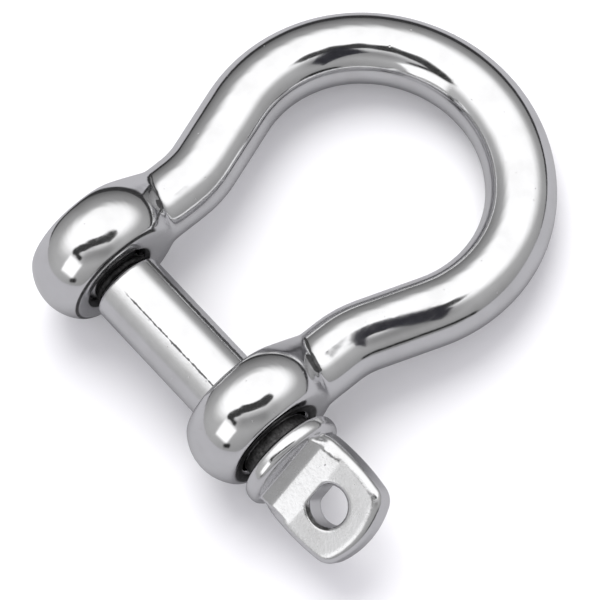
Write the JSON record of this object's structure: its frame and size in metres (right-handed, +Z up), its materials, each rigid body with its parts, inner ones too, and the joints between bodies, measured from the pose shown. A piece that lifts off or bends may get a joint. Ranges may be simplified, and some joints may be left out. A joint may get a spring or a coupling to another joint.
{
  "type": "bow shackle",
  "caption": "Bow shackle of polished stainless steel: a rounded rod bow with disc ears, and a screw pin with a collar and a flat drilled eye.",
  "frame": {"origin": "on the pin's axis, midway between the two ears", "axes": "+X along the pin towards its eye, +Y towards the crown of the bow, +Z up from the surface that the shackle lies on"},
  "size_m": [0.0644, 0.0685, 0.0198],
  "materials": {
    "polished_bow": "mirror-polished stainless steel with fine pits and faint scratches",
    "polished_pin": "polished stainless steel, satin on the flats of the eye"
  },
  "bodies": {
    "bow": {"bow": "polished_bow"},
    "screw_pin": {"screw_pin": "polished_pin"}
  },
  "joints": [
    {"name": "pin_travel", "type": "slide", "parent": "bow", "child": "screw_pin", "axis": [1, 0, 0], "range_m": [-0.0017, 0.0405]}
  ]
}
